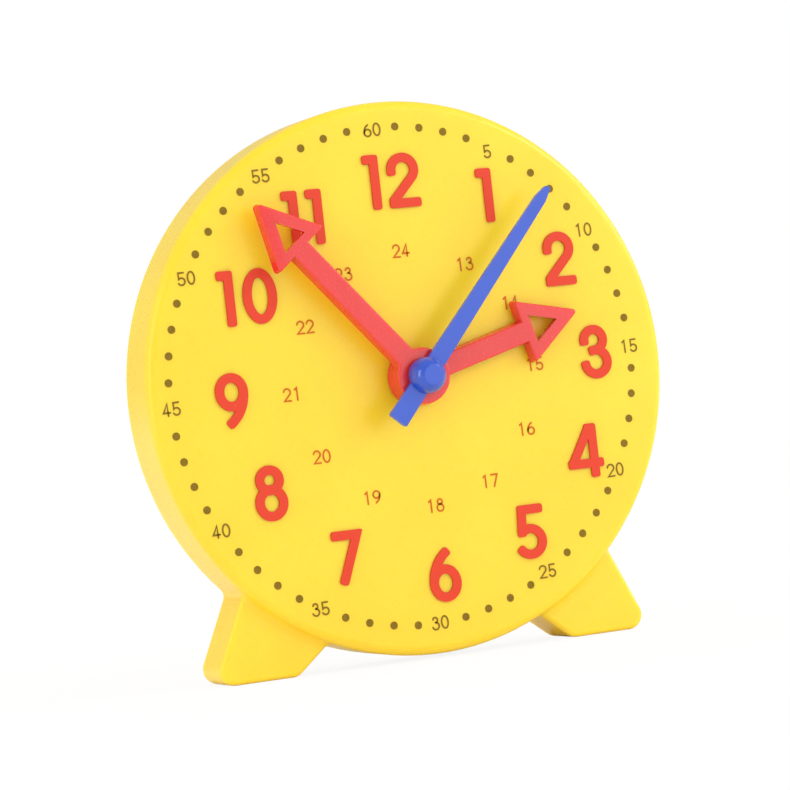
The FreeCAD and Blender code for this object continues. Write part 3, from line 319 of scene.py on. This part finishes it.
@dataclass(frozen=True)
class DrawnSteel:
    """Drawn or rolled steel: a neutral metal with fine marks along or round the part.

    The marks stretch the highlight, and a bright zinc plate or a spring temper only changes the
    tint and how sharp the highlight is.
    """

    name: str
    colour: str
    roughness: float = 0.32
    mark_mm: float = 0.15

    def build(self) -> bpy.types.Material:
        """Build the steel's node material.

        Returns:
            The material.
        """
        material, tree, output = start_material(self.name)
        place = add_node(tree, "ShaderNodeTexCoord").outputs["Object"]
        stretched = add_node(
            tree, "ShaderNodeMapping", values={"Scale": (1.0, 0.08, 1.0)}, links={"Vector": place}
        ).outputs["Vector"]
        marks = add_node(
            tree, "ShaderNodeTexNoise",
            values={"Scale": 1 / (self.mark_mm * MM), "Detail": 2.0, "Roughness": 0.5},
            links={"Vector": stretched},
        ).outputs["Fac"]
        gloss = add_node(
            tree, "ShaderNodeMapRange",
            values={"From Min": 0.3, "From Max": 0.7,
                    "To Min": self.roughness - 0.08, "To Max": self.roughness + 0.1},
            links={"Value": marks},
        ).outputs["Result"]
        steel = add_node(
            tree, "ShaderNodeBsdfPrincipled",
            values={"Base Color": linear(self.colour), "Metallic": 1.0},
            links={"Roughness": gloss},
        )
        tree.links.new(steel.outputs["BSDF"], output.inputs["Surface"])
        return material


# ---------------------------------------------------------------- sub-assemblies


def dress(node: str, material: bpy.types.Material, edge_mm: float = 0.0) -> None:
    """Give a CAD node its finish and, where it has one, the small radius of its moulded edges.

    Args:
        node: The node's name.
        material: Its finish.
        edge_mm: The edge radius in millimetres, or 0 for none.
    """
    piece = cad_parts[node]
    piece.data.materials.clear()
    piece.data.materials.append(material)
    if edge_mm:
        rounding = piece.modifiers.new("moulded_edge", "BEVEL")
        rounding.width = edge_mm * MM
        rounding.segments = 2
        rounding.limit_method = "ANGLE"
        rounding.angle_limit = BEVEL_ANGLE
        rounding.harden_normals = True
    LOG.info("dressed %s as %s", node, material.name)


@dataclass
class Case:
    """The moulded case: front shell with its feet and raised numerals, back cover and screws."""

    shell: MouldedPlastic = MouldedPlastic(
        "yellow_abs_moulded", "ffd72e", "fed228", roughness=0.3, scatter=0.6, scatter_mm=2.5,
        scatter_tint=(1.0, 0.6, 0.06), bump=0.02)
    # c83608 is the darker red painted on the numerals' walls as shade; f2a01c shows through the foil's
    # pinholes
    numerals: StampedNumeral = StampedNumeral("red_foil_stamped", "dd3711", "c83608", "f2a01c")
    screws: DrawnSteel = DrawnSteel("steel_bright_zinc", "c9cac8")

    def build(self) -> None:
        """Dress the case's nodes."""
        plastic = self.shell.build()
        for node in ("front_case", "back_cover"):
            dress(node, plastic)
        dress("hour_numerals", self.numerals.build(), edge_mm=0.12)
        dress("cover_screws", self.screws.build())


@dataclass
class Hands:
    """The three hands in front of the dial."""

    red: MouldedPlastic = MouldedPlastic(
        "red_abs_moulded", "dd2f2b", "d92b27", roughness=0.24, scatter=0.55, scatter_mm=2.5,
        scatter_tint=(1.0, 0.12, 0.05), flow_mm=9.0, bump=0.02, coat=0.5)
    blue: MouldedPlastic = MouldedPlastic(
        "blue_abs_moulded", "2a53c4", "284fbe", roughness=0.2, scatter=0.08, scatter_mm=0.6,
        scatter_tint=(0.2, 0.4, 1.0), flow_mm=9.0, bump=0.015, coat=0.3)
    edge_mm: float = 0.12

    def build(self) -> None:
        """Dress the hands' nodes."""
        red = self.red.build()
        for node in ("hour_hand", "minute_hand"):
            dress(node, red, self.edge_mm)
        dress("second_hand", self.blue.build(), self.edge_mm)


@dataclass
class Works:
    """The wheels, bridge, pins and washers behind the dial."""

    acetal: MouldedPlastic = MouldedPlastic(
        "natural_acetal_moulded", "ece9df", "e6e2d6", roughness=0.45, scatter=0.15, scatter_mm=1.2)
    pin: DrawnSteel = DrawnSteel("steel_drawn_bright", "bdbdbb", roughness=0.25)
    spring: DrawnSteel = DrawnSteel("steel_spring_rolled", "9a9c9e", roughness=0.3)
    screw: DrawnSteel = DrawnSteel("steel_bright_zinc_inner", "c9cac8")

    def build(self) -> None:
        """Dress the works' nodes."""
        acetal = self.acetal.build()
        for node in ("gear_bridge", "hour_wheel", "minute_arbor", "motion_wheel", "motion_washer"):
            dress(node, acetal)
        pin = self.pin.build()
        for node in ("motion_stud", "second_arbor"):
            dress(node, pin)
        spring = self.spring.build()
        for node in ("hour_washer", "minute_spring_washer", "second_washer",
                     "second_spring_washer", "second_retainer"):
            dress(node, spring)
        dress("bridge_screws", self.screw.build())


@dataclass
class DigitShapes:
    """The centre lines of the digits 0 to 9, in a box of the given width and height about (0, 0)."""

    width: float
    height: float
    steps: int = 28

    def arc(
        self, centre: Point, radius_x: float, radius_y: float, start: float, end: float
    ) -> list[Point]:
        """Points along an elliptic arc.

        Args:
            centre: The ellipse's centre.
            radius_x: Its half width.
            radius_y: Its half height.
            start: First angle, in degrees clockwise from the top.
            end: Last angle.

        Returns:
            The points, in order.
        """
        count = max(4, round(self.steps * abs(end - start) / 360))
        turns = [math.radians(start + (end - start) * step / count) for step in range(count + 1)]
        return [(centre[0] + radius_x * math.sin(turn), centre[1] + radius_y * math.cos(turn))
                for turn in turns]

    def loop(self, centre: Point, radius_x: float, radius_y: float) -> Stroke:
        """A closed elliptic stroke."""
        return self.arc(centre, radius_x, radius_y, 0, 360)[:-1], True

    def strokes(self, digit: str) -> list[Stroke]:
        """The strokes of one digit.

        Args:
            digit: The digit, as text.

        Returns:
            Each stroke's points and whether it is closed.
        """
        right, top = self.width / 2, self.height / 2
        left, bottom = -right, -top
        bowl = self.width / 2
        small = self.height / 2 - bowl
        low = bottom + bowl
        if digit == "0":
            return [self.loop((0, 0), right, top)]
        if digit == "1":
            return [([(left * 0.55, top * 0.72), (0.1 * right, top), (0.1 * right, bottom)], False)]
        if digit == "2":
            head = self.arc((0, top - bowl), bowl, bowl, -80, 128)
            return [(head + [(left, bottom), (right, bottom)], False)]
        if digit == "3":
            upper = self.arc((0, top - small), small * 0.98, small, -75, 180)
            lower = self.arc((0, low), bowl, bowl, 0, 255)
            return [(upper, False), (lower, False)]
        if digit == "4":
            stem, bar = right * 0.35, bottom + self.height * 0.25
            return [([(right, bar), (left, bar), (stem, top), (stem, bottom)], False)]
        if digit == "5":
            body = self.arc((0, low), bowl, bowl, -48, 245)
            return [([(right * 0.85, top), (left * 0.72, top)] + body, False)]
        if digit in "69":
            sign = 1 if digit == "6" else -1
            ring = self.arc((0, low * sign), bowl, bowl, 0, 360)[:-1]
            tail = self.arc((right * 1.1, low), bowl * 2.1, self.height - bowl, -90, -22)
            return [(ring, True), ([(x * sign, y * sign) for x, y in tail], False)]
        if digit == "7":
            return [([(left, top), (right, top), (left * 0.25, bottom)], False)]
        upper = self.loop((0, top - small), small, small)
        return [upper, self.loop((0, low), bowl, bowl)]


@dataclass
class DialPrint:
    """The flat print on the dial: minute dots, minute numerals and the hours 13 to 24."""

    face_y: float
    centre_x: float
    centre_z: float
    film_mm: float = 0.03
    ring_shift_mm: Point = (-1.31, 0.45)
    ring_turn: float = -2.1
    ring_mm: float = 44.9
    dot_mm: float = 1.45
    minute_shift_mm: Point = (-1.43, 0.25)
    minute_turn: float = -1.7
    minute_ring_mm: float = 44.7
    hour_shift_mm: Point = (0.68, -0.33)
    hour_turn: float = -1.05
    hour_ring_mm: float = 23.2
    numeral_mm: Point = (1.26, 2.18)
    stroke_mm: float = 0.33
    spacing_mm: float = 0.56
    minute_strays: dict[int, Point] = field(default_factory=lambda: {
        5: (-0.5, -0.2), 10: (0.2, -0.1), 15: (0.2, -0.1)})
    hour_strays: dict[int, Point] = field(default_factory=lambda: {
        13: (0.5, -0.6), 15: (0.2, -0.1), 18: (0.4, 0.1), 21: (-1.0, 0.0)})
    brown: PadInk = PadInk("brown_pad_ink", "7c6000", "8a6c02")
    red: PadInk = PadInk("red_pad_ink", "c85c00", "d06c02")

    def on_face(self, x: float, z: float, lift: float = 0.0) -> Vector:
        """A point on the dial.

        Args:
            x: Millimetres right of the shaft.
            z: Millimetres above it.
            lift: Millimetres in front of the dial.

        Returns:
            The point, in metres.
        """
        return Vector((self.centre_x + x * MM, self.face_y - lift * MM, self.centre_z + z * MM))

    def mesh_piece(
        self, name: str, vertices: list[Vector], faces: list[tuple[int, ...]], ink: bpy.types.Material,
    ) -> bpy.types.Object:
        """Make a printed piece that rides on the case.

        Args:
            name: The piece's name.
            vertices: Its points.
            faces: Its faces.
            ink: Its finish.

        Returns:
            The piece.
        """
        mesh = bpy.data.meshes.new(name)
        mesh.from_pydata(vertices, [], faces)
        mesh.validate()
        mesh.update()
        piece = bpy.data.objects.new(name, mesh)
        bpy.context.scene.collection.objects.link(piece)
        mesh.materials.append(ink)
        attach(piece, Body.CASE.value)
        LOG.info("made %s with %d faces", name, len(faces))
        return piece

    def dots(self, ink: bpy.types.Material) -> None:
        """Print the dot of every minute that has no numeral.

        Args:
            ink: The dots' finish.
        """
        vertices: list[Vector] = []
        faces: list[tuple[int, ...]] = []
        for minute in range(60):
            if minute % 5 == 0:
                continue
            x, z = self.on_ring(self.ring_shift_mm, self.ring_mm, minute * 6 + self.ring_turn)
            start = len(vertices)
            for radius, lift in ((0.5, 0.0), (0.49, self.film_mm * 0.8), (0.42, self.film_mm)):
                for step in range(DOT_SEGMENTS):
                    angle = math.tau * step / DOT_SEGMENTS
                    vertices.append(self.on_face(
                        x + self.dot_mm * radius * math.cos(angle),
                        z + self.dot_mm * radius * math.sin(angle), lift))
            for ring in (0, 1):
                first = start + ring * DOT_SEGMENTS
                for step in range(DOT_SEGMENTS):
                    low, after = first + step, first + (step + 1) % DOT_SEGMENTS
                    faces.append((low, after, after + DOT_SEGMENTS, low + DOT_SEGMENTS))
            faces.append(tuple(start + 2 * DOT_SEGMENTS + step for step in range(DOT_SEGMENTS)))
        self.mesh_piece("minute_dots", vertices, faces, ink)

    def stroke_mesh(
        self, stroke: Stroke, place: Point, turn: float, vertices: list[Vector],
        faces: list[tuple[int, ...]],
    ) -> None:
        """Add one stroke as a thin film with round ends.

        Args:
            stroke: Its points, in millimetres about the digit's middle, and whether it is closed.
            place: The digit's middle on the dial.
            turn: How far the digit is turned clockwise, in degrees.
            vertices: Takes the new points.
            faces: Takes the new faces.
        """
        points, closed = stroke
        half = self.stroke_mm / 2
        outline = [Vector(point) for point in points]
        count = len(outline)
        sides: list[tuple[Vector, Vector]] = []
        for index, point in enumerate(outline):
            before = outline[index - 1] if closed or index else None
            after = outline[(index + 1) % count] if closed or index < count - 1 else None
            first = ((after - point) if before is None else (point - before)).normalized()
            second = first if after is None else (after - point).normalized()
            along = (first + second).normalized()
            normal = Vector((-along.y, along.x))
            reach = half / max(0.5, normal.dot(Vector((-first.y, first.x))))
            sides.append((point + normal * reach, point - normal * reach))
        cosine, sine = math.cos(math.radians(turn)), math.sin(math.radians(turn))

        def put(spot: Vector) -> int:
            """Add a point of the film and return its number."""
            x = place[0] + spot.x * cosine + spot.y * sine
            z = place[1] - spot.x * sine + spot.y * cosine
            vertices.append(self.on_face(x, z, self.film_mm))
            return len(vertices) - 1

        numbers = [(put(one), put(other)) for one, other in sides]
        for index in range(count if closed else count - 1):
            one, other = numbers[index], numbers[(index + 1) % count]
            faces.append((one[0], one[1], other[1], other[0]))
        if closed:
            return
        for end, inner in ((0, 1), (count - 1, count - 2)):
            outward = (outline[end] - outline[inner]).normalized()
            across = Vector((-outward.y, outward.x))
            fan = [put(outline[end] + (across * math.cos(angle) + outward * math.sin(angle)) * half)
                   for angle in (math.pi * step / CAP_STEPS for step in range(CAP_STEPS + 1))]
            faces.append(tuple(fan))

    def numerals(
        self, name: str, texts: Iterable[tuple[str, Point]], turn: float, ink: bpy.types.Material,
        slot: Slot,
    ) -> None:
        """Print a set of small numerals.

        Args:
            name: The piece's name.
            texts: Each numeral and the place of its middle.
            turn: How far the set is turned clockwise, in degrees.
            ink: The finish.
            slot: The record's slot of that finish; not used.
        """
        shapes = DigitShapes(*self.numeral_mm)
        vertices: list[Vector] = []
        faces: list[tuple[int, ...]] = []
        advance = self.numeral_mm[0] + self.spacing_mm
        angle = math.radians(turn)
        for text, (x, z) in texts:
            for index, digit in enumerate(text):
                shift = (index - (len(text) - 1) / 2) * advance
                place = (x + shift * math.cos(angle), z - shift * math.sin(angle))
                for stroke in shapes.strokes(digit):
                    self.stroke_mesh(stroke, place, turn, vertices, faces)
        self.mesh_piece(name, vertices, faces, ink)

    def on_ring(self, shift_mm: Point, ring_mm: float, turn: float, nudge: Point = (0.0, 0.0)) -> Point:
        """A place on a printed ring.

        Args:
            shift_mm: The ring's centre, from the shaft.
            ring_mm: Its radius.
            turn: Degrees clockwise from the top.
            nudge: How far the print strays from the ring.

        Returns:
            Millimetres right of the shaft and above it.
        """
        angle = math.radians(turn)
        return (shift_mm[0] + nudge[0] + ring_mm * math.sin(angle),
                shift_mm[1] + nudge[1] + ring_mm * math.cos(angle))

    def build(self) -> None:
        """Print the dial."""
        brown, red = self.brown.build(), self.red.build()
        self.dots(brown)
        minutes = [
            (str(minute), self.on_ring(
                self.minute_shift_mm, self.minute_ring_mm, minute * 6 + self.minute_turn,
                self.minute_strays.get(minute, (0.0, 0.0))))
            for minute in range(5, 65, 5)
        ]
        self.numerals("minute_numerals", minutes, self.ring_turn, brown, Slot.BROWN_PRINT)
        hours = [
            (str(hour), self.on_ring(
                self.hour_shift_mm, self.hour_ring_mm, hour * 30 + self.hour_turn,
                self.hour_strays.get(hour, (0.0, 0.0))))
            for hour in range(13, 25)
        ]
        self.numerals("afternoon_numerals", hours, self.hour_turn, red, Slot.RED_PRINT)


# ---------------------------------------------------------------- studio


@dataclass
class Lamp:
    """A soft rectangular lamp that looks at the clock."""

    name: str
    azimuth: float
    elevation: float
    distance: float
    size: tuple[float, float]
    power: float

    def build(self, target: Vector) -> None:
        """Hang the lamp.

        Args:
            target: The point that it faces.
        """
        data = bpy.data.lights.new(self.name, "AREA")
        data.shape = "RECTANGLE"
        data.size, data.size_y = self.size
        data.energy = self.power
        lamp = bpy.data.objects.new(self.name, data)
        bpy.context.scene.collection.objects.link(lamp)
        aside, rise = math.radians(self.azimuth), math.radians(self.elevation)
        towards = Vector((
            math.sin(aside) * math.cos(rise), -math.cos(aside) * math.cos(rise), math.sin(rise)))
        lamp.location = target + towards * self.distance
        lamp.rotation_euler = towards.to_track_quat("Z", "Y").to_euler()


@dataclass
class Studio:
    """A plain pale floor and surround, soft lamps and the camera."""

    ambient: float = 1.0
    mirrored: float = 0.55
    floor_size: float = 8.0
    floor_grey: float = 0.9
    floor_glow: float = 0.89
    pool_start_m: float = 0.05
    pool_end_m: float = 0.5
    camera_place: tuple[float, float, float] = (-0.222075, -0.538662, 0.046362)
    camera_turn: tuple[float, float, float] = (90.149265, 6.333666, -22.084611)
    lens_mm: float = 147.2846
    lamps: list[Lamp] = field(default_factory=lambda: [
        Lamp("key_softbox", 40.0, 16.0, 1.1, (0.85, 0.85), 2.35),
        Lamp("edge_lamp", 54.0, 30.0, 1.1, (0.12, 0.12), 1.0),
        Lamp("side_strip", -76.0, 8.0, 0.9, (0.22, 0.8), 2.1),
        Lamp("right_strip", 80.0, 22.0, 0.9, (0.15, 0.5), 1.0),
    ])

    def build_world(self) -> None:
        """Surround the clock with even white light, which the camera sees as white."""
        world = bpy.data.worlds.new("studio_world")
        bpy.context.scene.world = world
        world.use_nodes = True
        tree = world.node_tree
        tree.nodes.clear()
        rays = add_node(tree, "ShaderNodeLightPath")
        unseen = add_node(
            tree, "ShaderNodeMapRange",
            values={"From Min": 0.0, "From Max": 1.0, "To Min": self.ambient, "To Max": self.mirrored},
            links={"Value": rays.outputs["Is Glossy Ray"]},
        ).outputs["Result"]
        strength = add_node(
            tree, "ShaderNodeMath", settings={"operation": "MAXIMUM"},
            links={0: rays.outputs["Is Camera Ray"], 1: unseen},
        ).outputs["Value"]
        light = add_node(
            tree, "ShaderNodeBackground", values={"Color": (1, 1, 1, 1)}, links={"Strength": strength})
        output = add_node(tree, "ShaderNodeOutputWorld")
        tree.links.new(light.outputs["Background"], output.inputs["Surface"])

    def build_floor(self) -> None:
        """Lay the pale floor that the clock stands on, which fades into the white surround."""
        half = self.floor_size / 2
        mesh = bpy.data.meshes.new("floor")
        mesh.from_pydata(
            [(-half, -half, 0), (half, -half, 0), (half, half, 0), (-half, half, 0)],
            [], [(0, 1, 2, 3)])
        floor = bpy.data.objects.new("floor", mesh)
        bpy.context.scene.collection.objects.link(floor)
        material, tree, output = start_material("pale_floor")
        rays = add_node(tree, "ShaderNodeLightPath")
        paper = add_node(
            tree, "ShaderNodeBsdfDiffuse", values={"Color": (*[self.floor_grey] * 3, 1)}
        ).outputs["BSDF"]
        glow = add_node(
            tree, "ShaderNodeEmission", values={"Color": (1, 1, 1, 1), "Strength": 1.0}
        ).outputs["Emission"]
        away = add_node(
            tree, "ShaderNodeVectorMath", settings={"operation": "LENGTH"},
            links={0: add_node(tree, "ShaderNodeTexCoord").outputs["Object"]},
        ).outputs["Value"]
        whiteness = add_node(
            tree, "ShaderNodeMapRange", settings={"interpolation_type": "SMOOTHSTEP"},
            values={"From Min": self.pool_start_m, "From Max": self.pool_end_m,
                    "To Min": self.floor_glow, "To Max": 1.0},
            links={"Value": away},
        ).outputs["Result"]
        share = add_node(
            tree, "ShaderNodeMath", settings={"operation": "MULTIPLY"},
            links={0: rays.outputs["Is Camera Ray"], 1: whiteness},
        ).outputs["Value"]
        surface = add_node(
            tree, "ShaderNodeMixShader", links={0: share, 1: paper, 2: glow}
        ).outputs["Shader"]
        tree.links.new(surface, output.inputs["Surface"])
        mesh.materials.append(material)

    def build_camera(self) -> None:
        """Set up the camera."""
        data = bpy.data.cameras.new("camera")
        data.lens = self.lens_mm
        data.sensor_width = 36.0
        data.clip_start = 0.01
        camera = bpy.data.objects.new("camera", data)
        bpy.context.scene.collection.objects.link(camera)
        camera.location = self.camera_place
        camera.rotation_euler = Euler([math.radians(turn) for turn in self.camera_turn], "XYZ")
        bpy.context.scene.camera = camera

    def build(self, target: Vector) -> None:
        """Build the studio.

        Args:
            target: The point that the lamps face.
        """
        bpy.context.scene.view_settings.view_transform = "Standard"
        self.build_world()
        self.build_floor()
        self.build_camera()
        for lamp in self.lamps:
            lamp.build(target)
        LOG.info("studio ready with %d lamps", len(self.lamps))


def main() -> None:
    """Dress the clock, print its dial and set up the studio."""
    logging.basicConfig(level=logging.INFO, format="%(name)s: %(message)s")
    low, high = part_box("second_arbor")
    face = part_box("hour_numerals")[1].y
    axis_z = (low.z + high.z) / 2
    Case().build()
    Hands().build()
    Works().build()
    DialPrint(face_y=face, centre_x=0.0, centre_z=axis_z).build()
    Studio().build(Vector((0.0, face, axis_z)))


if __name__ == "__main__":
    main()
